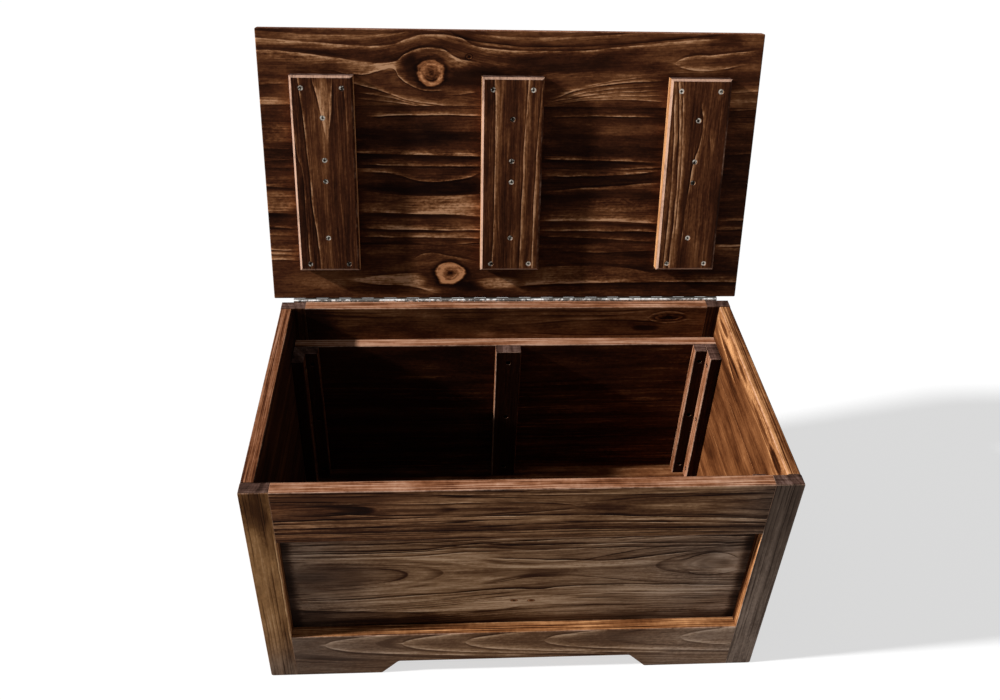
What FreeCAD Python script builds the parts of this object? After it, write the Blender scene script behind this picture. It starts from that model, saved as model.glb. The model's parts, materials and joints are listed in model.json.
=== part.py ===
import FreeCAD, Part
import math
import os

# A softwood trunk on four feet with a flat lid on a long hinge, modelled with its lid standing open.
# Sizes are in millimetres. X runs along the width, -Y is the front and Z is up.

# Chest
chest_width = 800.0
chest_depth = 452.0
chest_height = 432.0
arris = 2.5
end_arris = 0.6
seam_gap = 0.3

# Front and back frames, with a panel fixed behind each
frame_t = 21.0
stile_width = 42.0
top_rail_height = 105.0
bottom_rail_height = 101.0
panel_t = 21.0
ledge_drop = 68.0

# Side walls between the two frames
wall_t = 20.0
middle_board_count = 2

# Feet, left by the cut-outs in the lowest boards
arch_height = 31.0
arch_slope = 28.0
front_arch_width = 438.0
side_arch_width = 240.0
arch_corner_r = 8.0
foot_corner_r = 4.0

# Floor and its bearers
floor_height = 34.0
floor_t = 20.0
floor_board_count = 4
bearer_width = 45.0
bearer_t = 20.0
bearer_inset = 90.0

# Strips that hold the panels and the side walls together
wall_strip_width = 45.0
wall_strip_t = 21.0
panel_strip_width = 22.0
panel_strip_t = 21.0
centre_strip_width = 45.0

# Lid
lid_t = 20.0
lid_gap = 1.0
lid_side_overhang = 14.0
lid_front_overhang = 10.0
lid_arris = 2.0
open_angle = 104.2

# Widths of the lid's boards from the hinge forward, all narrowed or widened alike to fill the lid
rear_lid_board = 100.0
second_lid_board = 135.0
third_lid_board = 106.0
front_lid_board = 121.0

# Battens under the lid
batten_width = 102.0
batten_t = 20.0
batten_chamfer = 3.5
batten_rear_setback = 59.0
batten_front_setback = 71.0
batten_side_inset = 103.0

# Wood screws of the battens and strips
screw_head_r = 4.3
screw_head_h = 2.6
screw_shank_r = 2.0
screw_length = 34.0
screw_sink = 1.2
screw_hole_gap = 0.1
recess_width = 1.5
recess_length = 4.8
recess_depth = 1.8
recess_core_r = 1.4
recess_core_depth = 2.3
corner_screw_inset = 18.0
rear_screw_inset = 12.0
front_screw_inset = 20.0
seam_screw_inset = 18.0
strip_end_inset = 24.0
strip_screw_count = 3

# Long hinge behind the rim
hinge_end_gap = 20.0
barrel_r = 3.5
bore_r = 1.5
pin_r = 1.45
knuckle_pitch = 20.0
knuckle_gap = 0.4
notch_gap = 0.6
leaf_t = 1.0
leaf_height = 14.0
hinge_screw_count = 10
hinge_screw_end_inset = 15.0
hinge_screw_drop = 9.0
hinge_screw_head_r = 2.6
hinge_screw_head_h = 1.6
hinge_screw_shank_r = 1.3
hinge_screw_length = 12.0
hinge_recess_width = 0.7
hinge_recess_length = 2.9
hinge_recess_depth = 1.0
hinge_recess_core_r = 0.7
hinge_recess_core_depth = 1.3

# Worked out from the sizes above
half_width = chest_width / 2
front_y = -chest_depth / 2
back_y = chest_depth / 2
wall_x = half_width - wall_t
frame_inner_y = back_y - frame_t
panel_inner_y = frame_inner_y - panel_t
opening_x = half_width - stile_width
ledge_z = chest_height - ledge_drop
floor_top = floor_height + floor_t
lid_bottom = chest_height + lid_gap
lid_top = lid_bottom + lid_t
lid_half_width = half_width + lid_side_overhang
lid_front_y = front_y - lid_front_overhang
lid_board_sum = rear_lid_board + second_lid_board + third_lid_board + front_lid_board
board_fill = (back_y - lid_front_y) / lid_board_sum
hinge_length = chest_width - 2 * hinge_end_gap
hinge_y = back_y + barrel_r
hinge_z = chest_height + lid_gap / 2
X_AXIS = FreeCAD.Vector(1, 0, 0)
Y_AXIS = FreeCAD.Vector(0, 1, 0)
Z_AXIS = FreeCAD.Vector(0, 0, 1)


def opened(y, z):
    """Where a point of the shut lid lies once the lid stands open."""
    turn = math.radians(-open_angle)
    across = y - hinge_y
    up = z - hinge_z
    new_y = hinge_y + across * math.cos(turn) - up * math.sin(turn)
    new_z = hinge_z + across * math.sin(turn) + up * math.cos(turn)
    return new_y, new_z


# The origin is under the middle of the whole trunk with its lid open
lid_edge_y = opened(lid_front_y + lid_arris, lid_top - lid_arris)[0] + lid_arris
centre_shift = -(front_y + lid_edge_y) / 2


def block(low, high):
    """A plain box between two corners."""
    size = FreeCAD.Vector(*high) - FreeCAD.Vector(*low)
    return Part.makeBox(size.x, size.y, size.z, FreeCAD.Vector(*low))


def lengths(shape):
    """A shape's size along X, Y and Z."""
    box = shape.BoundBox
    return box.XLength, box.YLength, box.ZLength


def board(low, high):
    """A planed board between two corners, with its long arrises rounded and its ends eased."""
    solid = block(low, high)
    sizes = lengths(solid)
    longest = sizes.index(max(sizes))
    solid = solid.makeFillet(arris, [edge for edge in solid.Edges if lengths(edge)[longest] > 0.001])
    return solid.makeFillet(end_arris, [edge for edge in solid.Edges if lengths(edge)[longest] < 0.001])


def edges_through(solid, spots):
    """The edges along Y that pass through any of the given (x, z) spots."""
    found = []
    for edge in solid.Edges:
        ends = [vertex.Point for vertex in edge.Vertexes]
        along_y = len(ends) == 2 and abs(ends[0].x - ends[1].x) + abs(ends[0].z - ends[1].z) < 0.001
        if not along_y:
            continue
        if any(abs(ends[0].x - x) + abs(ends[0].z - z) < 0.001 for x, z in spots):
            found.append(edge)
    return found


def outline_edges(solid, y0, y1):
    """The edges that lie in the solid's front or back plane."""
    found = []
    for edge in solid.Edges:
        box = edge.BoundBox
        if box.YLength < 0.001 and min(abs(box.YMin - y0), abs(box.YMin - y1)) < 0.001:
            found.append(edge)
    return found


def plank(outline, y0, y1, rounded):
    """A board cut to an (x, z) outline, with its top arrises rounded and the others eased.

    rounded lists (radius, spots) pairs, where spots are corners of the outline to round first."""
    points = [FreeCAD.Vector(x, y0, z) for x, z in outline + outline[:1]]
    solid = Part.Face(Part.makePolygon(points)).extrude(FreeCAD.Vector(0, y1 - y0, 0))
    for radius, spots in rounded:
        solid = solid.makeFillet(radius, edges_through(solid, spots))
    top = solid.BoundBox.ZMax
    edges = outline_edges(solid, y0, y1)
    solid = solid.makeFillet(arris, [edge for edge in edges if edge.BoundBox.ZMin > top - 0.001])
    edges = outline_edges(solid, y0, y1)
    return solid.makeFillet(end_arris, [edge for edge in edges if edge.BoundBox.ZMin < top - arris - 0.001])


def footed_plank(half_length, height, arch_width, y0, y1):
    """A lowest board along X with the cut-out that leaves a foot at each end."""
    half_arch = arch_width / 2
    arch_top = half_arch - arch_slope
    feet = [(half_arch, 0), (-half_arch, 0)]
    arch = [(arch_top, arch_height), (-arch_top, arch_height)]
    outline = [(-half_length, 0), feet[1], arch[1], arch[0], feet[0], (half_length, 0)]
    outline += [(half_length, height), (-half_length, height)]
    return plank(outline, y0, y1, [(arch_corner_r, arch), (foot_corner_r, feet)])


def stile(side, y0, y1):
    """An upright at one end of the front or back frame, standing on the floor."""
    outer = side * half_width
    inner = side * opening_x
    outline = [(outer, 0), (outer, chest_height), (inner, chest_height), (inner, 0)]
    return plank(outline, y0, y1, [(foot_corner_r, [(outer, 0)])])


def screw(head, direction, head_r, head_h, shank_r, length, recess):
    """A countersunk screw whose head's face is at the given point, with a cross recess and its core."""
    width, reach, depth, core_r, core_depth = recess
    body = Part.makeCone(head_r, shank_r, head_h)
    shank = Part.makeCylinder(shank_r, length - 2 * shank_r - head_h, FreeCAD.Vector(0, 0, head_h))
    tip = Part.makeCone(shank_r, shank_r / 4, 2 * shank_r, FreeCAD.Vector(0, 0, length - 2 * shank_r))
    slot_a = block((-reach / 2, -width / 2, -1), (reach / 2, width / 2, depth))
    slot_b = block((-width / 2, -reach / 2, -1), (width / 2, reach / 2, depth))
    core = Part.makeCone(core_r, core_r / 2, core_depth)
    solid = body.fuse([shank, tip]).removeSplitter().cut(slot_a.fuse([slot_b, core]))
    return placed(solid, head, direction)


def screw_hole(head, direction, head_r, head_h, shank_r, length, sink):
    """The countersunk hole that such a screw sits in, from the surface down."""
    mouth_r = head_r + screw_hole_gap
    hole_r = shank_r + screw_hole_gap
    mouth = Part.makeCylinder(mouth_r, sink + 1, FreeCAD.Vector(0, 0, -sink - 1))
    cone = Part.makeCone(mouth_r, hole_r, head_h)
    shank = Part.makeCylinder(hole_r, length + screw_hole_gap - head_h, FreeCAD.Vector(0, 0, head_h))
    return placed(mouth.fuse([cone, shank]).removeSplitter(), head, direction)


def placed(solid, point, direction):
    """A solid made along +Z, moved so that it starts at a point and runs in a direction."""
    solid.Placement = FreeCAD.Placement(point, FreeCAD.Rotation(Z_AXIS, direction))
    return solid


def wood_screws(surface_points, direction):
    """Wood screws and their holes, started at points on the surface and sunk below it."""
    screws = []
    holes = []
    recess = (recess_width, recess_length, recess_depth, recess_core_r, recess_core_depth)
    for point in surface_points:
        head = point + direction * screw_sink
        sizes = (screw_head_r, screw_head_h, screw_shank_r, screw_length)
        screws.append(screw(head, direction, *sizes, recess))
        holes.append(screw_hole(head, direction, *sizes, screw_sink))
    return screws, holes


def slices(slab, axis, cuts):
    """A slab sawn square to an axis ("y" or "z") at the given places, with a thin seam between boards."""
    box = slab.BoundBox
    boards = []
    places = [None] + list(cuts) + [None]
    for start, end in zip(places, places[1:]):
        low = [box.XMin - 1, box.YMin - 1, box.ZMin - 1]
        high = [box.XMax + 1, box.YMax + 1, box.ZMax + 1]
        index = "xyz".index(axis)
        if start is not None:
            low[index] = start + seam_gap / 2
        if end is not None:
            high[index] = end - seam_gap / 2
        boards.append(slab.common(block(low, high)))
    return boards


def frame_pieces(name, outer_y, inner_y):
    """The stiles, rails and inner panel of the front or back frame."""
    y0 = min(outer_y, inner_y)
    y1 = max(outer_y, inner_y)
    inward = math.copysign(panel_t, inner_y - outer_y)
    panel_y0 = min(inner_y, inner_y + inward)
    top_rail_bottom = chest_height - top_rail_height
    return {
        name + "_left_stile": stile(-1, y0, y1),
        name + "_right_stile": stile(1, y0, y1),
        name + "_top_rail": board((-opening_x, y0, top_rail_bottom), (opening_x, y1, chest_height)),
        name + "_bottom_rail": footed_plank(opening_x, bottom_rail_height, front_arch_width, y0, y1),
        name + "_panel": board((-wall_x, panel_y0, floor_top), (wall_x, panel_y0 + panel_t, ledge_z)),
    }


def wall_boards(name, side):
    """One side wall: a top board, middle boards and a footed lowest board."""
    # The wall is made along X and then turned so that it runs from front to back
    wall = footed_plank(frame_inner_y, chest_height, side_arch_width, 0, wall_t)
    top_seam = chest_height - top_rail_height
    step = (top_seam - bottom_rail_height) / middle_board_count
    cuts = [bottom_rail_height + step * number for number in range(middle_board_count + 1)]
    pieces = slices(wall, "z", cuts)
    names = ["bottom"] + ["middle_%d" % number for number in range(1, middle_board_count + 1)] + ["top"]
    boards = {}
    for label, piece in zip(names, pieces):
        piece.rotate(FreeCAD.Vector(0, 0, 0), Z_AXIS, 90)
        piece.translate(X_AXIS * (half_width if side > 0 else wall_t - half_width))
        boards["%s_wall_%s_board" % (name, label)] = piece
    return boards


def floor_pieces():
    """The floor boards, and the bearers under them."""
    slab = board((-wall_x, -frame_inner_y, floor_height), (wall_x, frame_inner_y, floor_top))
    step = 2 * frame_inner_y / floor_board_count
    cuts = [-frame_inner_y + step * number for number in range(1, floor_board_count)]
    pieces = {}
    for number, piece in enumerate(slices(slab, "y", cuts), 1):
        pieces["floor_board_%d" % number] = piece
    bearer_x = wall_x - bearer_inset
    for label, x in (("left", -bearer_x), ("right", bearer_x)):
        low = (x - bearer_width / 2, -frame_inner_y, floor_height - bearer_t)
        high = (x + bearer_width / 2, frame_inner_y, floor_height)
        pieces["floor_bearer_" + label] = board(low, high)
    return pieces


def strip_screw_heights():
    """The heights of the screws in a strip, evenly spaced from top to bottom."""
    low = floor_top + strip_end_inset
    step = (ledge_z - strip_end_inset - low) / (strip_screw_count - 1)
    return [low + step * number for number in range(strip_screw_count)]


def strip_pieces(end, facing):
    """The upright strips inside the front (facing -1) or back (facing 1), their screws and holes."""
    face_y = facing * panel_inner_y
    surface_y = face_y - facing * panel_strip_t
    strip_y = sorted((face_y, surface_y))
    wall_strip_y = sorted((face_y, face_y - facing * wall_strip_width))
    # The panel strip covers the corner half of the wall strip, so the wall's screws stand clear of it
    wall_screw_y = face_y - facing * (panel_strip_t + wall_strip_width) / 2
    half_centre = centre_strip_width / 2
    heights = strip_screw_heights()
    centre = board((-half_centre, strip_y[0], floor_top), (half_centre, strip_y[1], ledge_z))
    strips = {end + "_centre_strip": centre}
    screws, holes = wood_screws([FreeCAD.Vector(0, surface_y, z) for z in heights], Y_AXIS * facing)
    for side, hand in (("left", -1), ("right", 1)):
        inner_x = hand * (wall_x - wall_strip_t)
        panel_strip_x = sorted((inner_x, inner_x - hand * panel_strip_width))
        wall_strip_x = sorted((inner_x, hand * wall_x))
        low = (panel_strip_x[0], strip_y[0], floor_top)
        strips["%s_%s_panel_strip" % (end, side)] = board(low, (panel_strip_x[1], strip_y[1], ledge_z))
        low = (wall_strip_x[0], wall_strip_y[0], floor_top)
        strips["%s_%s_wall_strip" % (end, side)] = board(low, (wall_strip_x[1], wall_strip_y[1], ledge_z))
        strip_middle_x = sum(panel_strip_x) / 2
        panel_spots = [FreeCAD.Vector(strip_middle_x, surface_y, z) for z in heights]
        wall_spots = [FreeCAD.Vector(inner_x, wall_screw_y, z) for z in heights]
        for spots, direction in ((panel_spots, Y_AXIS * facing), (wall_spots, X_AXIS * hand)):
            more_screws, more_holes = wood_screws(spots, direction)
            screws += more_screws
            holes += more_holes
    return strips, screws, holes


def lid_boards():
    """The shut lid's boards, from the hinge to the front."""
    slab = block((-lid_half_width, lid_front_y, lid_bottom), (lid_half_width, back_y, lid_top))
    slab = slab.makeFillet(lid_arris, slab.Edges)
    rear = back_y - rear_lid_board * board_fill
    second = rear - second_lid_board * board_fill
    third = second - third_lid_board * board_fill
    return slices(slab, "y", [third, second, rear])[::-1], [rear, second, third]


def batten(x):
    """A batten under the shut lid, with the arrises of its open face chamfered."""
    low = (x - batten_width / 2, lid_front_y + batten_front_setback, lid_bottom - batten_t)
    high = (x + batten_width / 2, back_y - batten_rear_setback, lid_bottom)
    plain = block(low, high)
    face = [edge for edge in plain.Edges if edge.BoundBox.ZMax < low[2] + 0.001]
    return plain.makeChamfer(batten_chamfer, face)


def batten_screw_spots(x, seams):
    """Two screws at each end of a batten, and one to each side of the seams between them."""
    rear_y = back_y - batten_rear_setback - rear_screw_inset
    front_screw_y = lid_front_y + batten_front_setback + front_screw_inset
    reach = batten_width / 2 - corner_screw_inset
    spots = [(x + side * reach, y) for side in (-1, 1) for y in (rear_y, front_screw_y)]
    rear, second, third = seams
    middle_rows = [rear - seam_screw_inset, second + seam_screw_inset]
    middle_rows += [second - seam_screw_inset, third + seam_screw_inset]
    spots += [(x, y) for y in middle_rows]
    return [FreeCAD.Vector(spot_x, spot_y, lid_bottom - batten_t) for spot_x, spot_y in spots]


def knuckle_starts():
    """Where each knuckle of the hinge starts, from left to right."""
    count = int(hinge_length / knuckle_pitch)
    first = -count * knuckle_pitch / 2
    return [first + knuckle_pitch * number for number in range(count)]


def hinge_leaf(own_starts, upward):
    """One leaf with its knuckles: below the axis on the chest, above it on the shut lid."""
    notch = barrel_r + notch_gap
    near = hinge_z + upward * notch
    far = hinge_z + upward * leaf_height
    half = hinge_length / 2
    pieces = [block((-half, back_y, min(near, far)), (half, back_y + leaf_t, max(near, far)))]
    for start in own_starts:
        x0 = start + knuckle_gap / 2
        x1 = start + knuckle_pitch - knuckle_gap / 2
        tab_low = (x0, back_y, min(hinge_z, near))
        tab_high = (x1, back_y + leaf_t, max(hinge_z, near))
        pieces.append(block(tab_low, tab_high))
        pieces.append(Part.makeCylinder(barrel_r, x1 - x0, FreeCAD.Vector(x0, hinge_y, hinge_z), X_AXIS))
    leaf = pieces[0].fuse(pieces[1:]).removeSplitter()
    bore_start = FreeCAD.Vector(-hinge_length, hinge_y, hinge_z)
    return leaf.cut(Part.makeCylinder(bore_r, 2 * hinge_length, bore_start, X_AXIS))


def hinge_screw_group(upward):
    """The small screws of one leaf and the holes for them."""
    reach = hinge_length / 2 - hinge_screw_end_inset
    step = 2 * reach / (hinge_screw_count - 1)
    sizes = (hinge_screw_head_r, hinge_screw_head_h, hinge_screw_shank_r, hinge_screw_length)
    slot = (hinge_recess_width, hinge_recess_length, hinge_recess_depth)
    recess = (*slot, hinge_recess_core_r, hinge_recess_core_depth)
    screws = []
    holes = []
    for number in range(hinge_screw_count):
        x = -reach + step * number
        head = FreeCAD.Vector(x, back_y + leaf_t, hinge_z + upward * hinge_screw_drop)
        screws.append(screw(head, -Y_AXIS, *sizes, recess))
        holes.append(screw_hole(head, -Y_AXIS, *sizes, 0))
    return screws, holes


def drill(pieces, holes):
    """Cut screw holes from every board or leaf that they reach."""
    tool = Part.makeCompound(holes)
    for name, piece in pieces.items():
        if not isinstance(piece, list) and piece.BoundBox.intersect(tool.BoundBox):
            pieces[name] = piece.cut(tool)


def chest_pieces():
    """Every piece of the chest but the hinge's."""
    pieces = frame_pieces("front", front_y, -frame_inner_y)
    pieces.update(frame_pieces("back", back_y, frame_inner_y))
    pieces.update(wall_boards("left", -1))
    pieces.update(wall_boards("right", 1))
    pieces.update(floor_pieces())
    for end, facing in (("front", -1), ("back", 1)):
        strips, screws, holes = strip_pieces(end, facing)
        pieces.update(strips)
        drill(pieces, holes)
        pieces[end + "_strip_screws"] = screws
    return pieces


def lid_pieces():
    """Every piece of the shut lid but the hinge's."""
    boards, seams = lid_boards()
    pieces = {"lid_board_%d" % number: piece for number, piece in enumerate(boards, 1)}
    outer_x = lid_half_width - batten_side_inset
    for label, x in (("left", -outer_x), ("middle", 0), ("right", outer_x)):
        screws, holes = wood_screws(batten_screw_spots(x, seams), Z_AXIS)
        pieces["lid_batten_" + label] = batten(x)
        drill(pieces, holes)
        pieces["lid_batten_%s_screws" % label] = screws
    return pieces


def add_hinge(chest, lid):
    """The long hinge: a leaf and its screws on each side, and the pin on the chest's side."""
    starts = knuckle_starts()
    chest["hinge_chest_leaf"] = hinge_leaf(starts[0::2], -1)
    lid["hinge_lid_leaf"] = hinge_leaf(starts[1::2], 1)
    for pieces, side, upward in ((chest, "chest", -1), (lid, "lid", 1)):
        screws, holes = hinge_screw_group(upward)
        drill(pieces, holes)
        pieces["hinge_%s_screws" % side] = screws
    pin_start = FreeCAD.Vector(starts[0], hinge_y, hinge_z)
    chest["hinge_pin"] = Part.makeCylinder(pin_r, -2 * starts[0], pin_start, X_AXIS)


def export(name, piece):
    """Write one node, moved from the chest's own middle to the trunk's origin."""
    shape = Part.makeCompound(piece) if isinstance(piece, list) else piece
    shape.translate(Y_AXIS * centre_shift)
    shape.exportStep("parts/" + name + ".step")
    print(name, len(shape.Solids), shape.isValid())


def main():
    os.makedirs("parts", exist_ok=True)
    chest = chest_pieces()
    lid = lid_pieces()
    add_hinge(chest, lid)
    hinge_point = FreeCAD.Vector(0, hinge_y, hinge_z)
    for piece in lid.values():
        for solid in piece if isinstance(piece, list) else [piece]:
            solid.rotate(hinge_point, X_AXIS, -open_angle)
    for name, piece in list(chest.items()) + list(lid.items()):
        export(name, piece)
    print("hinge axis at", hinge_y + centre_shift, hinge_z, "shift", centre_shift)


main()
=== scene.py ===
import json
import math
from dataclasses import dataclass

import bpy
from mathutils import Matrix, Vector

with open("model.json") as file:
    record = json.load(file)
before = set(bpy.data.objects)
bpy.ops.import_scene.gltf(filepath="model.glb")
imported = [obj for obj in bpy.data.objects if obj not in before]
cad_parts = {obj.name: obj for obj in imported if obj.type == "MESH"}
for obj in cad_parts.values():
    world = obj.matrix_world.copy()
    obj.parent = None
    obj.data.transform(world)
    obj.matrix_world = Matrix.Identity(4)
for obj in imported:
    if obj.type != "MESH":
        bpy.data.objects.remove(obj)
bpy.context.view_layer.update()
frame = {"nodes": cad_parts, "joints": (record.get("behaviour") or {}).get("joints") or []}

# Looks, light and camera for the torched softwood trunk. Places and sizes of the grain are in millimetres.

MM = 1000.0

# Camera: its place in metres, its turns in degrees and its lens in millimetres
CAMERA_PLACE = (-0.11305, -1.20419, 1.41280)
CAMERA_DOWN = 35.64
CAMERA_YAW = -4.14
CAMERA_ROLL = -2.18
CAMERA_LENS = 33.78
CAMERA_SHIFT = -0.05
SENSOR_WIDTH = 36.0

# Light: where it comes from, how many degrees wide it is, and how far off the lamp stands
KEY_FROM = Vector((-0.854, -0.053, 0.518))
KEY_SPREAD = 3.0
KEY_STRENGTH = 5.6
KEY_DISTANCE = 3.0
SKY_STRENGTH = 0.17

# Floor: its size in metres, and how pale it is in the light that it throws back. What the camera sees of it
# is one part that takes shadows and one part that glows evenly.
FLOOR_SIZE = 60.0
FLOOR_WHITE = 0.8
FLOOR_SHADOW = 0.36
FLOOR_GLOW = 0.64

# Bumps in metres, and how strongly the wood reflects
WOOD_BUMP = 0.0004
WOOD_REFLECTION = 0.03
STEEL_BUMP = 0.00005

X = Vector((1, 0, 0))
Y = Vector((0, 1, 0))
Z = Vector((0, 0, 1))
OUT_FRONT = Y * -1
OUT_BACK = Y
OUT_LEFT = X * -1
OUT_RIGHT = X
OUT_BELOW = Z * -1

# The lid's boards are measured in the lid's own plane, up from its hinge edge
hinge = frame["joints"][0]
lid_lean = math.radians(hinge["range_deg"][1] - 90)
LID_UP = Vector((0, math.sin(lid_lean), math.cos(lid_lean)))
LID_BACK = Vector((0, math.cos(lid_lean), -math.sin(lid_lean)))


def lowest(node, way):
    """How far a CAD node starts along a direction, in metres from the frame's origin."""
    return min(vertex.co.dot(way) for vertex in frame["nodes"][node].data.vertices)


# Where places on the lid and on the side walls are counted from, and how their pieces are spaced
LID_START = lowest("lid_board_1", LID_UP) * MM
BATTEN_SPACING = 311.0
WALL_START = lowest("right_wall_top_board", Y) * MM
WALL_BOARD_WIDTH = 108.0
LOWEST_WALL_BOARD_MIDDLE = 60.0

# Tones of the wood from burnt to brushed bare, as (place on the scale, colour)
CHARRED = (
    (0.00, (0.0060, 0.0016, 0.0008)),
    (0.22, (0.0200, 0.0058, 0.0024)),
    (0.42, (0.0540, 0.0155, 0.0058)),
    (0.62, (0.1400, 0.0500, 0.0175)),
    (0.82, (0.3150, 0.1420, 0.0610)),
    (1.00, (0.5600, 0.3000, 0.1600)),
)
# A darker char for the insides of the left wall and the back stiles, which is painted shade
CHARRED_IN_PAINTED_SHADE = tuple((place, tuple(part * 0.4 for part in colour)) for place, colour in CHARRED)
BROWN = (
    (0.00, (0.0100, 0.0030, 0.0010)),
    (0.22, (0.0350, 0.0110, 0.0036)),
    (0.45, (0.1060, 0.0465, 0.0185)),
    (0.70, (0.2550, 0.1370, 0.0670)),
    (1.00, (0.4900, 0.3100, 0.1850)),
)
WARM = (
    (0.00, (0.0120, 0.0040, 0.0010)),
    (0.22, (0.0420, 0.0140, 0.0035)),
    (0.45, (0.1200, 0.0510, 0.0160)),
    (0.70, (0.2700, 0.1330, 0.0500)),
    (1.00, (0.5000, 0.3000, 0.1500)),
)
GREYED = (
    (0.00, (0.0140, 0.0080, 0.0055)),
    (0.22, (0.0350, 0.0220, 0.0155)),
    (0.45, (0.0850, 0.0570, 0.0420)),
    (0.70, (0.1900, 0.1350, 0.1030)),
    (1.00, (0.3400, 0.2600, 0.2050)),
)
GOLDEN = (
    (0.00, (0.0220, 0.0055, 0.0016)),
    (0.22, (0.0800, 0.0240, 0.0070)),
    (0.48, (0.1800, 0.0650, 0.0215)),
    (0.74, (0.3500, 0.1520, 0.0580)),
    (1.00, (0.6400, 0.3150, 0.1350)),
)
BARE_EDGE = (
    (0.00, (0.0450, 0.0120, 0.0045)),
    (0.22, (0.1250, 0.0400, 0.0150)),
    (0.48, (0.2550, 0.1000, 0.0450)),
    (0.74, (0.4100, 0.2020, 0.1180)),
    (1.00, (0.5500, 0.3300, 0.2250)),
)
END_GRAIN = (
    (0.00, (0.0120, 0.0050, 0.0030)),
    (0.50, (0.0800, 0.0410, 0.0300)),
    (1.00, (0.2500, 0.1550, 0.1250)),
)
KNOTTED = (
    (0.00, (0.0060, 0.0016, 0.0008)),
    (0.30, (0.0320, 0.0085, 0.0030)),
    (0.55, (0.1300, 0.0410, 0.0140)),
    (0.80, (0.3400, 0.1300, 0.0500)),
    (1.00, (0.6400, 0.2900, 0.1300)),
)
RUBBED = (0.50, 0.30, 0.21)

# Steel, as (dark, bright)
HINGE_STEEL = ((0.14, 0.13, 0.12), (0.74, 0.73, 0.71))
SCREW_STEEL = ((0.010, 0.007, 0.005), (0.38, 0.34, 0.29))
STAINED_STEEL = ((0.004, 0.003, 0.003), (0.05, 0.04, 0.035))


class Value:
    """A number that changes over a surface. Arithmetic on it builds the nodes."""

    def __init__(self, graph, socket):
        self.graph = graph
        self.socket = socket

    def math(self, operation, *others):
        return self.graph.math(operation, self, *others)

    def __add__(self, other):
        return self.math("ADD", other)

    def __sub__(self, other):
        return self.math("SUBTRACT", other)

    def __mul__(self, other):
        return self.math("MULTIPLY", other)

    def __truediv__(self, other):
        return self.math("DIVIDE", other)

    def squared(self):
        return self * self

    def root(self):
        return self.math("SQRT")

    def size(self):
        return self.math("ABSOLUTE")

    def bell(self):
        """1 where this is 0, falling smoothly to 0 on both sides."""
        return (self.squared() * -1.0).math("EXPONENT")

    def ease(self, start, end):
        """0 at start and 1 at end, with a smooth step between. start may be the larger."""
        inputs = {"Value": self, "From Min": start, "From Max": end}
        node = self.graph.add("MapRange", inputs, interpolation_type="SMOOTHSTEP")
        return Value(self.graph, node.outputs["Result"])

    def between(self, start, end, new_start, new_end):
        """start..end taken in a straight line to new_start..new_end, and held at its ends."""
        inputs = {"Value": self, "From Min": start, "From Max": end, "To Min": new_start, "To Max": new_end}
        return Value(self.graph, self.graph.add("MapRange", inputs).outputs["Result"])


class Graph:
    """The nodes of one material or of the world."""

    def __init__(self, tree):
        self.tree = tree
        tree.nodes.clear()

    def feed(self, socket, value):
        """Link an output to an input, or set the input to a constant."""
        if isinstance(value, Value):
            value = value.socket
        if isinstance(value, bpy.types.NodeSocket):
            self.tree.links.new(value, socket)
        elif socket.type == "RGBA":
            socket.default_value = (*value, 1.0)
        else:
            socket.default_value = value

    def add(self, kind, inputs, **settings):
        """A node of some kind. inputs are keyed by a socket's name or number."""
        node = self.tree.nodes.new("ShaderNode" + kind)
        for key, value in settings.items():
            setattr(node, key, value)
        for key, value in inputs.items():
            self.feed(node.inputs[key], value)
        return node

    def math(self, operation, *values):
        node = self.add("Math", dict(enumerate(values)), operation=operation)
        return Value(self, node.outputs[0])

    def path(self, along, points):
        """How far across a smooth line through some (along, across) points lies."""
        start = points[0][0]
        length = points[-1][0] - start
        low = min(across for _, across in points) - 10.0
        height = max(across for _, across in points) + 10.0 - low
        node = self.add("FloatCurve", {"Value": along.between(start, start + length, 0.0, 1.0)})
        curve = node.mapping.curves[0]
        places = [((place - start) / length, (across - low) / height) for place, across in points]
        curve.points[0].location = places[0]
        curve.points[1].location = places[-1]
        for place in places[1:-1]:
            curve.points.new(*place)
        node.mapping.update()
        return Value(self, node.outputs[0]) * height + low

    def dot(self, vector, direction):
        node = self.add("VectorMath", {0: vector, 1: tuple(direction)}, operation="DOT_PRODUCT")
        return Value(self, node.outputs["Value"])

    def noise(self, x, y, z, detail=3.0, roughness=0.55):
        """Cloudy noise about 0, mostly between -0.6 and 0.6."""
        point = self.add("CombineXYZ", {0: x, 1: y, 2: z}).outputs[0]
        inputs = {"Vector": point, "Scale": 1.0, "Detail": detail, "Roughness": roughness}
        return (Value(self, self.add("TexNoise", inputs).outputs["Fac"]) - 0.5) * 3.0

    def tone(self, level, stops):
        """The colour of a scale of tones at a level from 0 to 1."""
        node = self.add("ValToRGB", {"Fac": level})
        elements = node.color_ramp.elements
        while len(elements) < len(stops):
            elements.new(0.5)
        for element, (place, colour) in zip(elements, stops):
            element.position = place
            element.color = (*colour, 1.0)
        return node.outputs["Color"]

    def mix(self, share, first, second):
        return self.add("Mix", {0: share, 6: first, 7: second}, data_type="RGBA").outputs[2]

    def either(self, *values):
        """The largest of some values."""
        result = values[0]
        for value in values[1:]:
            result = self.math("MAXIMUM", result, value)
        return result

    def seen_directly(self):
        """1 for camera, glossy and transmission rays, and 0 for the light that falls on things."""
        ray = self.add("LightPath", {}).outputs
        return self.either(ray["Is Camera Ray"], ray["Is Glossy Ray"], ray["Is Transmission Ray"])

    def surface(self, colour, roughness, height, depth, **constants):
        """The object's own shader, with a bump of some depth in metres."""
        bump = self.add("Bump", {"Height": height, "Distance": depth})
        inputs = {"Base Color": colour, "Roughness": roughness, "Normal": bump.outputs[0]}
        shader = self.add("BsdfPrincipled", {**inputs, **constants})
        self.add("OutputMaterial", {"Surface": shader.outputs[0]})


@dataclass
class Streak:
    """A line along a board through (along, across) places, pale, or dark where the strength is negative.

    It is sharp on one side and fades over its width to the other, which is the lower side where the width is
    negative."""

    path: tuple
    width: float
    strength: float


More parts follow.
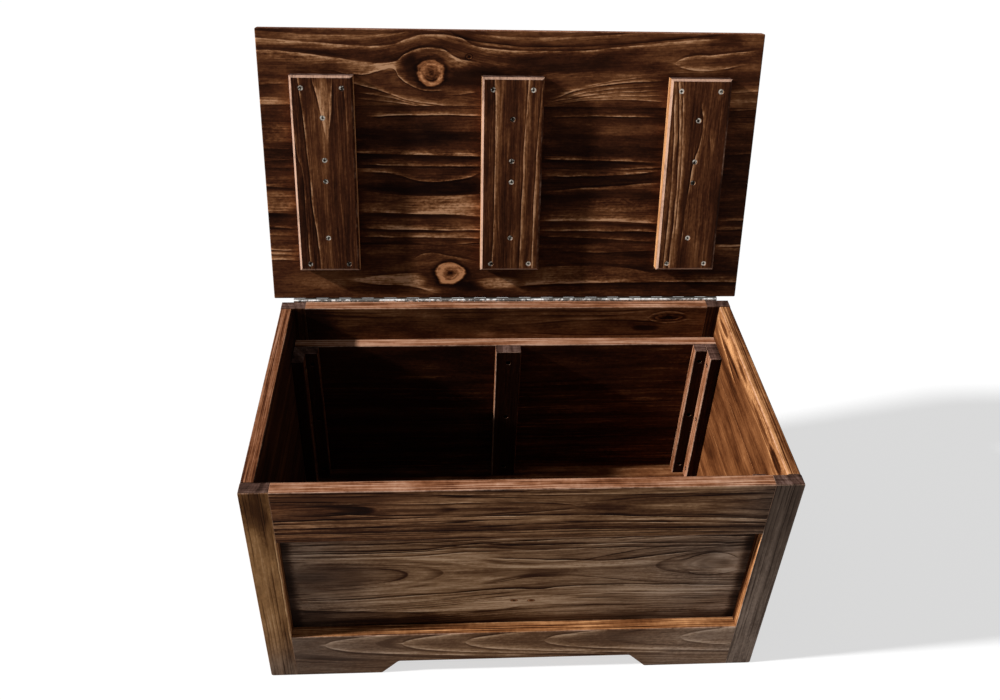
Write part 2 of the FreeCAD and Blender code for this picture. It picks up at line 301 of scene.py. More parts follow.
@dataclass
class Patch:
    """A lighter patch with a soft outline, or a darker one where the strength is negative."""

    along: float
    across: float
    half_length: float
    half_width: float
    strength: float


@dataclass
class Knot:
    """A knot: its middle, half its length along the grain, half its width, how light its wood is, and how
    large and how dark its eye is."""

    along: float
    across: float
    half_length: float
    half_width: float
    light: float = 0.62
    eye: float = 0.3
    eye_depth: float = 0.6


@dataclass
class Grain:
    """What makes one board's grain its own.

    seed sets its noise apart from that of other boards, and waves is how far its fibres wander. pith is
    where the log's middle lies across the board, and how deep it is under the inner face. drift moves it
    across, and taper and rises (along, reach, height) move it in depth, which draws the pointed arches.
    bends (along, reach, shift) push the fibres across the board. ring is the spacing of the year rings,
    and late the strength of their lines: above 0 they are pale, below 0 dark. late_width is the share of
    a ring that a line takes. broad is the strength of wide bands, cloudy that of clouds and fibrous that
    of fibres, and shade lifts or darkens the board. edge_shade does so on its narrow edges, and edge_burn
    darkens their outer strip, or the inner one below 0. bare_side is 1 or -1 where only the edge that
    faces higher or lower places across is bare. worn is how bare the arrises are, and higher_arris_shade
    is painted shade that leaves those on the higher side less bare. outer_late takes the place of late
    on the outer face, if given, and then the streaks and patches show on the inner face alone. tinges
    (along, reach, tones) are where the outer face turns to other tones."""

    seed: float
    pith: tuple = (0.0, 60.0)
    drift: float = 0.0
    taper: float = 0.0
    rises: tuple = ()
    bends: tuple = ()
    ring: float = 6.0
    late: float = 0.3
    late_width: float = 0.5
    broad: float = 0.5
    cloudy: float = 0.16
    fibrous: float = 0.08
    waves: float = 5.0
    shade: float = 0.0
    edge_shade: float = 0.0
    edge_burn: float = 0.0
    bare_side: int = 0
    worn: float = 0.5
    higher_arris_shade: float = 0.0
    outer_late: float = None
    tinges: tuple = ()
    knots: tuple = ()
    patches: tuple = ()
    streaks: tuple = ()


def reach_of(g, spot, along, across, unevenness):
    """How far out a place is from the middle of a knot or patch, 1 being on its outline."""
    lengthwise = ((along - spot.along) / spot.half_length).squared()
    sideways = ((across - spot.across) / spot.half_width).squared()
    return (lengthwise + sideways).root() * (unevenness * 0.14 + 1.0)


def make_line_group():
    """A node group for one line of the grain, from 0 off the line to 1 on it, fading out at its ends. Beyond
    its sharp side it falls below 0, where the wood is darkest."""
    tree = bpy.data.node_groups.new("line of the grain", "ShaderNodeTree")
    for name in ("Along", "Offset", "Width", "Start", "End"):
        tree.interface.new_socket(name, in_out="INPUT", socket_type="NodeSocketFloat")
    tree.interface.new_socket("Line", in_out="OUTPUT", socket_type="NodeSocketFloat")
    g = Graph(tree)
    given = tree.nodes.new("NodeGroupInput").outputs
    along, offset, width, start, end = (Value(g, given[number]) for number in range(5))
    edge = g.math("DIVIDE", -1.0, width.size())
    steps = (offset / width).math("MAXIMUM", -3.0)
    profile = steps.ease(edge, 0.0) * (steps * -1.0).math("EXPONENT") - ((steps + 0.7) / 0.45).bell() * 0.35
    profile = profile * along.ease(start - 15.0, start + 20.0) * along.ease(end + 15.0, end - 20.0)
    g.feed(tree.nodes.new("NodeGroupOutput").inputs[0], profile)
    return tree


def wood(node, ways, grain, outer, inner=None, edge=BARE_EDGE, along_start=0.0, across_start=0.0):
    """Dress a CAD node in torched and brushed softwood.

    ways are the directions along, across and out through the board. outer, inner and edge are the tones of
    its two faces and of its narrow edges. along_start and across_start are where places are counted from."""
    material = bpy.data.materials.new(node + " wood")
    material.use_nodes = True
    g = Graph(material.node_tree)
    seed = grain.seed
    along_way, across_way, out_way = ways
    coordinates = g.add("TexCoord", {}).outputs
    along = g.dot(coordinates["Object"], along_way * MM) - along_start
    across = g.dot(coordinates["Object"], across_way * MM) - across_start
    through = g.dot(coordinates["Object"], out_way * MM) - lowest(node, out_way) * MM
    facing_along = g.dot(coordinates["Normal"], along_way).size()
    facing_higher = g.dot(coordinates["Normal"], across_way)
    facing_across = facing_higher.size()
    facing_out = g.dot(coordinates["Normal"], out_way)

    # The fibres wander, bend, and part round each knot
    sway = g.noise(along / 280.0 + seed * 7.3, across / 80.0, through / 60.0 + seed, 2.0)
    ripple = g.noise(along / 50.0 + seed * 3.1, across / 16.0, through / 20.0, 2.0)
    flow = across + sway * grain.waves + ripple * (grain.waves * 0.2)
    drawn = across + sway * 1.5 + ripple * 1.2
    for bend_along, bend_reach, shift in grain.bends:
        flow = flow - ((along - bend_along) / bend_reach).bell() * shift
    reaches = [(knot, reach_of(g, knot, along, across, ripple * 1.5)) for knot in grain.knots]
    for knot, reach in reaches:
        flow = flow - (reach / 2.0).bell() * (across - knot.across) * 0.6

    # Rings about the pith
    depth = along * grain.taper + grain.pith[1]
    for rise_along, rise_reach, height in grain.rises:
        depth = depth + ((along - rise_along) / rise_reach).bell() * height
    off_pith = flow - grain.pith[0] - along * grain.drift
    radius = (off_pith.squared() + (depth + through + sway * (grain.waves * 0.6)).squared()).root()
    bands = g.noise(along / 600.0 + seed, radius / (grain.ring * 2.2), seed * 1.7, 4.0, 0.6)
    year = radius / grain.ring + bands * 1.2 + seed
    part_year = year.math("FRACT")
    late_wood = part_year.ease(0.95 - grain.late_width, 0.9) * part_year.ease(1.0, 0.93)
    good_year = g.noise(year.math("FLOOR") * 0.73, along / 210.0, seed, 2.0).ease(-0.3, 0.35)

    # Fibres, brush marks and clouds
    coarse = g.noise(along / 60.0, flow / 2.0, through / 30.0, 3.0, 0.6)
    fine = g.noise(along / 14.0, flow / 1.1, seed, 3.0, 0.7)
    clouds = g.noise(along / 110.0, across / 40.0 + seed * 2.3, through / 50.0, 4.0, 0.62)
    mottle = g.noise(along / 7.0, across / 4.0, through / 7.0 + seed, 3.0, 0.6)
    speckle = coarse * 0.5 + fine * 0.35 + mottle * 0.35 + 1.0
    texture = coarse * grain.fibrous + fine * 0.055 + mottle * 0.1

    marked = 1.0
    late = grain.late
    if grain.outer_late is not None:
        marked = facing_out.ease(0.3, -0.3)
        late = marked * (grain.late - grain.outer_late) + grain.outer_late
    lines = late_wood * good_year * late
    broken = g.noise(along / 70.0, drawn / 14.0, seed * 2.1, 3.0).between(-0.7, 0.4, 0.2, 1.2) * marked
    for streak in grain.streaks:
        offset = drawn - g.path(along, streak.path)
        sizes = {"Width": streak.width, "Start": streak.path[0][0], "End": streak.path[-1][0]}
        line = g.add("Group", {"Along": along, "Offset": offset, **sizes}, node_tree=line_group)
        lines = lines + Value(g, line.outputs[0]) * broken * streak.strength
    cloudy = clouds * (marked * 0.4 + 0.6) * grain.cloudy
    level = lines * speckle + bands * grain.broad + texture + cloudy + (0.40 + grain.shade)
    brushed = (mottle * 0.4 + coarse * 0.3 + 1.0) * marked
    for patch in grain.patches:
        inside = reach_of(g, patch, along, across, clouds * 1.4 + mottle).ease(1.15, 0.5)
        level = level + inside * brushed * patch.strength
    for knot, reach in reaches:
        level = level - reach.ease(1.5, 1.05) * 0.3
    colour = g.tone(level, outer)
    for place, reach, tones in grain.tinges:
        share = ((along - place) / reach).bell() * (clouds * 0.4 + 0.65)
        colour = g.mix(share, colour, g.tone(level, tones))
    if inner:
        colour = g.mix(facing_out.ease(-0.3, -0.7), colour, g.tone(level, inner))

    # The knots' own wood: arcs, a pale crescent on the lower side, and a dark rim and eye
    for knot, reach in reaches:
        below = (across - knot.across).ease(knot.half_width * 0.3, knot.half_width * -0.6)
        arcs = g.noise(reach * (knot.half_width / 5.0), along / 30.0 + seed, across / 22.0, 3.0, 0.6)
        heart = arcs * 0.3 + mottle * 0.28 + coarse * 0.12 + clouds * 0.2 + knot.light
        heart = heart + (((reach - 0.82) / 0.13).bell() * 0.3 - ((reach - 0.6) / 0.09).bell() * 0.4) * below
        heart = heart - reach.ease(0.6, 0.4) * 0.12 - reach.ease(0.93, 1.04) * 0.4
        heart = heart - (reach / knot.eye).bell() * knot.eye_depth
        colour = g.mix(reach.ease(1.1, 1.0), colour, g.tone(heart, KNOTTED))

    # Narrow edges are barer, ends are grey, and the arrises are rubbed pale
    layers = g.noise(along / 160.0, through / 2.0 + sway, across / 40.0 + seed * 3.3, 3.0, 0.65)
    edge_level = layers * 0.95 + texture * 1.2 + clouds * 0.2 + (0.50 + grain.edge_shade)
    burnt = through.ease(4.0, 8.0) if grain.edge_burn > 0 else through.ease(14.0, 9.0)
    edge_level = edge_level - burnt * abs(grain.edge_burn)
    facing_bare = facing_higher * grain.bare_side if grain.bare_side else facing_across
    colour = g.mix(facing_bare.ease(0.75, 0.97), colour, g.tone(edge_level, edge))
    end_level = layers * 0.45 + bands * 0.6 + mottle * 0.2 + 0.42
    colour = g.mix(facing_along.ease(0.75, 0.97), colour, g.tone(end_level, END_GRAIN))
    flatness = g.either(facing_across, facing_along, facing_out.size())
    bare = clouds * 0.5 + mottle * 0.3 + coarse * 0.3
    # The arrises on the higher side are left less bare, which is painted shade
    bare = bare - facing_higher.ease(0.3, 0.6) * grain.higher_arris_shade + grain.worn
    colour = g.mix(flatness.ease(0.97, 0.8) * bare.ease(0.0, 1.0), colour, RUBBED)

    roughness = level.between(0.0, 1.0, 0.75, 0.55)
    height = bands * 0.4 + lines * 0.8 + texture * 2.5
    g.surface(colour, roughness, height, WOOD_BUMP, **{"Specular IOR Level": WOOD_REFLECTION})
    dress(node, material)


def dress(node, material):
    """Give a CAD node one material on its whole surface."""
    slots = frame["nodes"][node].data.materials
    slots.clear()
    slots.append(material)


def steel(node, axis, tones, spot_size):
    """Dull plated steel with fine scratches and spots of a size, partly stains and partly painted glints.
    Only what lies square to the axis and at its lowest place on it is bright, and the rest is painted shade,
    so that the recess of a screw stays dark."""
    dark, bright = tones
    material = bpy.data.materials.new(node + " steel")
    material.use_nodes = True
    g = Graph(material.node_tree)
    coordinates = g.add("TexCoord", {}).outputs
    x, y, z = (g.dot(coordinates["Object"], way * MM) for way in (X, Y, Z))
    square = g.dot(coordinates["Normal"], axis).size().ease(0.55, 0.95)
    depth = g.dot(coordinates["Object"], axis * MM) - lowest(node, axis) * MM
    stain_and_glint_spots = g.noise(x / spot_size, y / spot_size, z / spot_size, 3.0, 0.6)
    scratches = g.noise(x / 0.9, y / 0.25, z / 0.25, 3.0)
    stains = g.noise(x / 37.0, y / 37.0, z / 37.0, 2.0)
    # Only faces square to the axis and not deep along it are bright: the rest, as in a screw's recess, is
    # painted shade. The bright spots are painted glints and the dark ones stains
    level = (stain_and_glint_spots * 1.3 + scratches * 0.3 + stains * 1.1 + 0.35) * square * depth.ease(1.5, 0.8)
    colour = g.tone(level, ((0.1, dark), (0.6, bright), (1.0, tuple(part * 1.3 for part in bright))))
    g.surface(colour, level.between(0.0, 1.0, 0.55, 0.3), scratches, STEEL_BUMP, Metallic=1.0)
    dress(node, material)


def pointed_arch(tip, across):
    """The two branches of a pale pointed arch that opens to the right."""
    upper = ((tip, across), (tip + 14.0, across + 8.0), (tip + 45.0, across + 15.0),
             (tip + 100.0, across + 23.0))
    lower = ((tip, across - 1.0), (tip + 16.0, across - 12.0), (tip + 64.0, across - 22.0),
             (tip + 132.0, across - 29.0), (tip + 232.0, across - 37.0), (tip + 330.0, across - 42.0))
    return Streak(upper, -5.0, 0.5), Streak(lower, 5.0, 0.5)


def dress_front():
    """The front frame and panel: brown, with fine level grain and pointed arches."""
    level_ways = (X, Z, OUT_FRONT)
    upright_ways = (Z, X, OUT_FRONT)
    fine = {"ring": 4.6, "late": -0.6, "late_width": 0.35, "broad": 0.45, "fibrous": 0.26}
    wood("front_top_rail", level_ways, Grain(
        1.3, pith=(393.0, 12.0), rises=((113.0, 300.0, 9.0),), waves=2.0, shade=0.05, worn=0.5, **fine,
        tinges=((-370.0, 300.0, CHARRED), (390.0, 90.0, GREYED)),
        patches=(Patch(385.0, 395.0, 50.0, 90.0, -0.12), Patch(-100.0, 392.0, 150.0, 5.0, -0.2),
                 Patch(240.0, 392.0, 80.0, 6.0, 0.2),
                 Patch(115.0, 392.0, 45.0, 7.0, -0.15), Patch(-250.0, 420.0, 150.0, 14.0, -0.15)),
        streaks=(Streak(((-370.0, 372.0), (-150.0, 376.0), (60.0, 377.0), (200.0, 370.0),
                         (370.0, 361.0)), 2.0, -0.8),
                 Streak(((-370.0, 410.0), (-180.0, 404.0), (20.0, 404.0), (75.0, 395.0)), -2.0, -0.5),
                 Streak(((-280.0, 388.0), (-100.0, 380.0), (75.0, 391.0)), 2.0, -0.5),
                 Streak(((60.0, 362.0), (200.0, 358.0), (370.0, 351.0)), 2.0, -0.7),
                 Streak(((120.0, 366.0), (370.0, 356.0)), 3.0, 0.35),
                 Streak(((-370.0, 359.0), (-100.0, 363.0)), 2.0, 0.35),
                 Streak(((-370.0, 351.0), (-60.0, 353.0)), 2.0, 0.35),
                 Streak(((-370.0, 366.0), (-60.0, 368.0)), 1.5, -0.6),
                 Streak(((-370.0, 355.0), (-60.0, 358.0)), 1.5, -0.5),
                 Streak(((-370.0, 345.0), (-40.0, 347.0), (370.0, 343.0)), 1.5, -0.5),
                 Streak(((-370.0, 424.0), (370.0, 416.0)), -3.0, -0.4))),
        BROWN, CHARRED)
    arches = [branch for tip in (-307.0, -184.0, -82.0, 46.0, 270.0) for branch in pointed_arch(tip, 79.0)]
    wood("front_bottom_rail", level_ways, Grain(
        2.1, pith=(80.0, 50.0), taper=-0.05, ring=5.6, late=-0.25, late_width=0.4, broad=0.15, cloudy=0.12,
        waves=1.5, shade=0.05, edge_shade=0.08, fibrous=0.13, worn=0.35, streaks=tuple(arches),
        tinges=((-370.0, 200.0, GREYED), (420.0, 300.0, GREYED)),
        patches=(Patch(330.0, 60.0, 170.0, 80.0, 0.18),)),
        BROWN, CHARRED, GOLDEN)
    wood("front_left_stile", upright_ways, Grain(
        3.7, pith=(-440.0, 10.0), waves=2.0, shade=0.18, worn=0.3, edge_shade=0.15, edge_burn=-0.5, ring=4.6,
        late=-0.3, late_width=0.35, broad=0.3, cloudy=0.3, bare_side=1,
        tinges=((0.0, 70.0, GREYED),),
        patches=(Patch(400.0, -380.0, 60.0, 22.0, -0.25), Patch(345.0, -366.0, 60.0, 9.0, -0.22),
                 Patch(20.0, -375.0, 60.0, 40.0, -0.1), Patch(110.0, -364.0, 120.0, 9.0, -0.1)),
        streaks=(Streak(((90.0, -359.5), (340.0, -359.5)), 1.5, 0.5),)),
        WARM, CHARRED, GOLDEN)
    wood("front_right_stile", upright_ways, Grain(
        4.4, pith=(440.0, 10.0), waves=2.0, shade=0.1, worn=0.3, edge_shade=0.1, edge_burn=-0.5, ring=4.6,
        late=-0.35, late_width=0.4, broad=0.25, bare_side=-1,
        patches=(Patch(70.0, 380.0, 130.0, 80.0, 0.1), Patch(370.0, 380.0, 130.0, 80.0, -0.12)),
        streaks=(Streak(((90.0, 359.0), (340.0, 359.0)), -1.5, 0.6),)),
        GREYED, CHARRED, GOLDEN)
    wood("front_panel", level_ways, Grain(
        5.9, pith=(229.0, 16.0), drift=0.03, rises=((60.0, 220.0, 26.0),), waves=2.5, shade=0.25,
        ring=5.0, late=-0.45, late_width=0.35, broad=0.4, fibrous=0.28,
        tinges=((-370.0, 130.0, GREYED), (370.0, 230.0, GREYED)),
        knots=(Knot(-5.0, 155.0, 5.0, 2.5, 0.5), Knot(22.0, 154.0, 5.0, 2.5, 0.5)),
        # The first four patches, dark strips along the panel's ends and foot, are partly unbrushed char in
        # the recess corners and partly painted shade
        patches=(Patch(-366.0, 214.0, 24.0, 600.0, -0.45), Patch(366.0, 214.0, 24.0, 600.0, -0.45),
                 Patch(-370.0, 92.0, 330.0, 52.0, -0.28), Patch(0.0, 98.0, 900.0, 25.0, -0.25),
                 Patch(250.0, 200.0, 130.0, 60.0, 0.14), Patch(-300.0, 210.0, 90.0, 60.0, -0.16),
                 Patch(-255.0, 225.0, 110.0, 30.0, -0.16), Patch(-10.0, 224.0, 110.0, 11.0, -0.25),
                 Patch(305.0, 235.0, 32.0, 18.0, -0.3), Patch(27.0, 287.0, 80.0, 10.0, -0.25),
                 Patch(110.0, 240.0, 170.0, 9.0, 0.16), Patch(-60.0, 158.0, 230.0, 12.0, 0.14),
                 Patch(180.0, 172.0, 110.0, 10.0, 0.12), Patch(-200.0, 206.0, 60.0, 7.0, 0.12)),
        streaks=(Streak(((-40.0, 260.0), (20.0, 255.0), (90.0, 251.0), (135.0, 249.0), (190.0, 255.0),
                         (258.0, 266.0)), 2.5, -0.9),
                 Streak(((-345.0, 165.0), (-260.0, 166.0), (-195.0, 171.0), (-110.0, 177.0), (0.0, 184.0),
                         (25.0, 182.0), (65.0, 187.0), (140.0, 190.0), (240.0, 187.0),
                         (345.0, 182.0)), 2.5, -0.9),
                 Streak(((-290.0, 157.0), (-110.0, 162.0), (0.0, 164.0)), -4.0, 0.25),
                 Streak(((-260.0, 266.0), (-135.0, 257.0), (-40.0, 238.0), (90.0, 235.0),
                         (260.0, 250.0)), 8.0, 0.25),
                 Streak(((-350.0, 141.0), (-260.0, 135.0), (-160.0, 130.0), (-60.0, 130.0),
                         (5.0, 139.0)), -6.0, -0.5),
                 Streak(((-350.0, 282.0), (-185.0, 280.0), (-80.0, 291.0), (40.0, 299.0), (190.0, 301.0),
                         (350.0, 299.0)), 2.0, -0.8),
                 Streak(((-350.0, 276.0), (-195.0, 276.0), (-85.0, 284.0), (60.0, 288.0),
                         (350.0, 283.0)), 2.0, -0.7),
                 Streak(((-350.0, 267.0), (-190.0, 267.0), (-60.0, 275.0), (100.0, 278.0),
                         (350.0, 276.0)), 2.0, -0.6),
                 Streak(((-350.0, 295.0), (-150.0, 297.0), (60.0, 309.0), (350.0, 311.0)), 2.0, -0.5),
                 Streak(((260.0, 247.0), (285.0, 259.0), (308.0, 262.0), (340.0, 248.0)), 2.0, -0.6),
                 Streak(((265.0, 220.0), (290.0, 210.0), (320.0, 211.0), (345.0, 219.0)), -2.0, -0.4),
                 Streak(((55.0, 165.0), (140.0, 170.0), (345.0, 165.0)), 1.5, -0.5),
                 Streak(((90.0, 158.0), (345.0, 155.0)), 1.5, -0.5))),
        BROWN, CHARRED)


def dress_back():
    """The back frame and panel, brown outside and nearly black inside. Painted shade darkens the stiles'
    inner faces, the left end of the top rail and the left half of the panel.
    """
    level_ways = (X, Z, OUT_BACK)
    upright_ways = (Z, X, OUT_BACK)
    style = {"ring": 6.5, "late": -0.3, "broad": 0.4}
    wood("back_top_rail", level_ways, Grain(
        11.2, pith=(385.0, 40.0), shade=0.16, waves=3.0, cloudy=0.3, fibrous=0.16,
        knots=(Knot(290.0, 409.0, 26.0, 7.0, 0.4),),
        # The dark patch at the rail's left end is painted shade
        patches=(Patch(-370.0, 400.0, 75.0, 80.0, -0.3),),
        streaks=(Streak(((252.0, 408.0), (268.0, 418.0), (295.0, 421.0), (325.0, 414.0)), -3.0, 0.35),
                 Streak(((252.0, 408.0), (270.0, 398.0), (300.0, 397.0), (325.0, 404.0)), 3.0, 0.3)),
        **style), BROWN, CHARRED)
    wood("back_bottom_rail", level_ways, Grain(12.6, pith=(50.0, 30.0), taper=0.03, **style), BROWN, CHARRED)
    for side, hand in (("left", -1), ("right", 1)):
        wood("back_%s_stile" % side, upright_ways, Grain(
            13.1 + hand, pith=(450.0 * hand, 10.0), worn=-0.1, bare_side=-hand, **style), BROWN, CHARRED_IN_PAINTED_SHADE)
    wood("back_panel", level_ways, Grain(
        15.5, pith=(330.0, 50.0), ring=9.0, late=0.2, broad=0.3, fibrous=0.12, shade=-0.08, edge_shade=0.1,
        # The first patch darkens the panel's left half as painted shade
        patches=(Patch(-330.0, 210.0, 330.0, 220.0, -0.12), Patch(-150.0, 318.0, 60.0, 14.0, 0.14),
                 Patch(110.0, 325.0, 140.0, 16.0, 0.14))),
        BROWN, CHARRED)


def dress_walls():
    """The side walls: golden inside on the right, and charred inside on the left, darker still by painted
    shade.
    """
    plain = {"ring": 12.0, "late": -0.12, "broad": 0.3, "shade": -0.09}
    figured = {
        "ring": 8.0, "late": -0.12, "broad": 0.3, "shade": -0.12,
        "patches": (Patch(205.0, 440.0, 900.0, 46.0, 0.42), Patch(30.0, 400.0, 60.0, 26.0, 0.25),
                    Patch(350.0, 405.0, 70.0, 24.0, 0.22), Patch(44.0, 411.0, 36.0, 11.0, -0.9),
                    Patch(128.0, 413.0, 60.0, 5.5, -0.5), Patch(245.0, 419.0, 34.0, 6.0, -0.5),
                    Patch(365.0, 416.0, 34.0, 7.0, -0.7), Patch(305.0, 398.0, 60.0, 6.0, -0.5),
                    Patch(290.0, 362.0, 70.0, 14.0, -0.12)),
        "streaks": (Streak(((262.0, 377.0), (320.0, 385.0), (390.0, 396.0)), -6.0, 0.6),
                    Streak(((60.0, 418.0), (80.0, 424.0), (180.0, 425.0)), 3.0, -0.35),
                    Streak(((60.0, 403.0), (120.0, 404.0), (230.0, 398.0)), 3.0, -0.3)),
    }
    for number, part in enumerate(("bottom_board", "middle_1_board", "middle_2_board", "top_board")):
        middle = LOWEST_WALL_BOARD_MIDDLE + WALL_BOARD_WIDTH * number
        wood("left_wall_" + part, (Y, Z, OUT_LEFT),
             Grain(21.0 + number * 1.3, pith=(middle, 30.0), ring=6.5, late=-0.3, broad=0.4, edge_shade=-0.2,
                   worn=0.2),
             BROWN, CHARRED_IN_PAINTED_SHADE)
        features = figured if part == "top_board" else plain
        wood("right_wall_" + part, (Y, Z, OUT_RIGHT),
             Grain(31.0 + number * 1.7, pith=(middle + 10.0, 15.0), cloudy=0.3, fibrous=0.15, edge_shade=0.34,
                   edge_burn=0.42, worn=0.4, outer_late=-0.4, **features),
             BROWN, GOLDEN, GOLDEN, along_start=WALL_START)


def dress_inside():
    """The floor, its bearers and the strips."""
    for number in range(1, 5):
        wood("floor_board_%d" % number, (X, Y, OUT_BELOW), Grain(
            40.0 + number * 1.9, late=-0.06, cloudy=0.25, shade=0.24,
            # The floor boards darken towards the left, which is painted shade
            patches=(Patch(-380.0, -70.0, 430.0, 900.0, -0.3),)),
            BROWN, CHARRED)
    for side in ("left", "right"):
        wood("floor_bearer_" + side, (Y, X, OUT_BELOW), Grain(46.0 + len(side), late=-0.2), BROWN)
    strips = ("centre", "left_panel", "left_wall", "right_panel", "right_wall")
    for end, out in (("front", OUT_FRONT), ("back", OUT_BACK)):
        for number, strip in enumerate(strips):
            seed = 50.0 + number * 1.3 + (7.0 if end == "back" else 0.0)
            # The strips' faces are charred dark, which is partly painted shade, and those on the left also
            # get charred edges and no bare arrises as painted shade
            painted_as_lit = "left" not in strip
            wood("%s_%s_strip" % (end, strip), (Z, X, out),
                 Grain(seed, pith=(-420.0, 20.0), late=-0.15, broad=0.2, shade=-0.22, edge_shade=-0.1,
                       worn=0.5 if painted_as_lit else -0.6, higher_arris_shade=0.4),
                 CHARRED, edge=BARE_EDGE if painted_as_lit else CHARRED)


def dress_lid():
    """The lid's boards and battens. Their inner faces are the lid's underside."""
    boards = {"ways": (X, LID_UP, LID_BACK), "outer": BROWN, "inner": CHARRED, "across_start": LID_START}
    style = {"late": 0.12, "late_width": 0.6, "broad": 0.33, "fibrous": 0.12, "cloudy": 0.3,
             "edge_shade": -0.25, "worn": 0.1, "outer_late": -0.4}
    wood("lid_board_4", grain=Grain(
        61.4, pith=(300.0, 90.0), ring=14.0, shade=0.0, waves=3.0, **style,
        bends=((-150.0, 75.0, 12.0), (8.0, 70.0, -9.0), (420.0, 200.0, 16.0)),
        knots=(Knot(-134.0, 395.0, 22.0, 22.0, 0.74, 0.4, 0.2), Knot(-72.0, 421.0, 5.0, 4.0, 0.3)),
        patches=(Patch(-235.0, 403.0, 55.0, 9.0, 0.18), Patch(-203.0, 406.0, 24.0, 9.0, 0.14),
                 Patch(-360.0, 418.0, 80.0, 9.0, 0.1), Patch(-118.0, 419.0, 40.0, 11.0, 0.22),
                 Patch(-92.0, 409.0, 22.0, 8.0, 0.22), Patch(-168.0, 408.0, 12.0, 22.0, -0.2),
                 Patch(-400.0, 345.0, 30.0, 10.0, 0.2), Patch(-20.0, 395.0, 80.0, 14.0, -0.14),
                 Patch(-186.0, 383.0, 16.0, 14.0, 0.1), Patch(335.0, 418.0, 66.0, 13.0, -0.1),
                 Patch(-20.0, 425.0, 45.0, 7.0, 0.14), Patch(150.0, 365.0, 100.0, 14.0, 0.14),
                 Patch(90.0, 408.0, 150.0, 12.0, -0.1), Patch(-60.0, 385.0, 60.0, 24.0, -0.3),
                 Patch(340.0, 450.0, 40.0, 14.0, -0.15), Patch(-126.0, 405.0, 14.0, 10.0, 0.2)),
        streaks=(
            Streak(((-430.0, 447.0), (-312.0, 439.5), (-227.0, 436.0), (-172.0, 447.0), (-132.0, 454.5),
                    (-92.0, 451.0), (-52.0, 434.5), (-17.0, 432.0), (88.0, 431.0), (188.0, 439.5),
                    (338.0, 454.5)), -4.0, 0.5),
            Streak(((-102.0, 459.5), (-42.0, 443.0), (38.0, 438.0), (138.0, 440.5), (238.0, 449.0),
                    (338.0, 460.0)), 4.0, -0.45),
            Streak(((-430.0, 459.0), (-250.0, 452.0), (-170.0, 458.0)), -4.0, 0.3),
            Streak(((-60.0, 456.0), (60.0, 452.0), (200.0, 460.0)), -4.0, 0.25),
            Streak(((-430.0, 428.0), (-372.0, 426.0), (-312.0, 419.5), (-247.0, 411.0),
                    (-219.5, 408.0)), -7.0, 0.5),
            Streak(((-219.5, 408.0), (-192.0, 412.0), (-177.0, 423.0), (-157.0, 431.0), (-137.0, 434.0),
                    (-117.0, 432.0), (-104.5, 425.0), (-88.0, 416.0), (-62.0, 412.0)), -4.0, 0.6),
            Streak(((-297.0, 398.0), (-247.0, 392.0), (-212.0, 399.5), (-197.0, 402.0), (-187.0, 389.5),
                    (-169.5, 376.0), (-147.0, 367.0), (-118.0, 366.0)), 2.5, 0.5),
            Streak(((-262.0, 378.0), (-212.0, 364.5), (-172.0, 350.5), (-115.0, 343.0)), 2.5, 0.55),
            Streak(((-250.0, 362.0), (-205.0, 355.0), (-160.0, 344.0), (-105.0, 336.0)), 2.0, 0.5),
            Streak(((-255.0, 352.0), (-190.0, 345.0), (-130.0, 336.0)), 2.0, 0.35),
            Streak(((-112.0, 357.0), (-52.0, 366.0)), 2.5, 0.3),
            Streak(((68.0, 354.5), (138.0, 376.0), (250.0, 386.0)), 2.5, 0.6),
            Streak(((68.0, 350.0), (138.0, 363.0), (240.0, 370.0)), 2.0, 0.5),
            Streak(((75.0, 346.5), (138.0, 354.0), (250.0, 352.0)), 2.0, 0.4),
            Streak(((80.0, 359.0), (150.0, 382.0), (250.0, 393.0)), 1.5, 0.35),
            Streak(((75.0, 352.0), (140.0, 369.0), (245.0, 378.0)), 1.5, 0.35),
            Streak(((72.0, 348.0), (140.0, 358.0), (245.0, 361.0)), 1.5, 0.35),
            Streak(((370.0, 367.0), (430.0, 370.0)), 2.0, 0.4),
            Streak(((370.0, 351.0), (430.0, 353.0)), 2.0, 0.35),
            Streak(((268.0, 414.0), (300.0, 426.0), (330.0, 427.0), (400.0, 436.0)), -4.0, 0.45),
            Streak(((268.0, 413.0), (290.0, 405.0), (320.0, 403.0), (380.0, 412.0)), 3.0, 0.4),
            Streak(((-430.0, 372.0), (-372.0, 376.0)), 3.0, 0.4))),
        **boards)
    wood("lid_board_3", grain=Grain(
        62.1, pith=(90.0, 90.0), ring=18.0, shade=-0.12, waves=2.5, **style,
        # The second and third patches, right of the left and middle battens, are painted batten shadows
        patches=(Patch(-395.0, 296.0, 40.0, 24.0, 0.24), Patch(-150.0, 290.0, 110.0, 18.0, -0.14),
                 Patch(110.0, 290.0, 60.0, 24.0, -0.12), Patch(210.0, 292.0, 70.0, 30.0, 0.05)),
        streaks=(
            Streak(((-232.0, 323.0), (-150.0, 326.5), (-55.0, 325.5)), 3.0, 0.75),
            Streak(((68.0, 324.0), (130.0, 325.0), (240.0, 325.0)), 2.5, 0.6),
            Streak(((-262.0, 262.0), (-200.0, 260.0), (-100.0, 258.0), (-50.0, 257.5)), 6.0, 0.75),
            Streak(((56.0, 253.0), (150.0, 251.0), (255.0, 247.0)), 5.0, 0.6),
            Streak(((-245.0, 242.0), (-150.0, 240.0), (-50.0, 240.0)), 3.0, 0.5),
            Streak(((160.0, 233.0), (255.0, 238.5)), 3.0, 0.5),
            Streak(((-430.0, 247.0), (-370.0, 250.0)), 4.0, 0.45),
            Streak(((-430.0, 270.0), (-370.0, 268.0)), 3.0, 0.35),
            Streak(((370.0, 338.0), (430.0, 340.0)), 2.0, 0.35),
            Streak(((370.0, 326.0), (430.0, 329.0)), 2.0, 0.3),
            Streak(((370.0, 262.0), (430.0, 264.0)), 3.0, 0.35))),
        **boards)
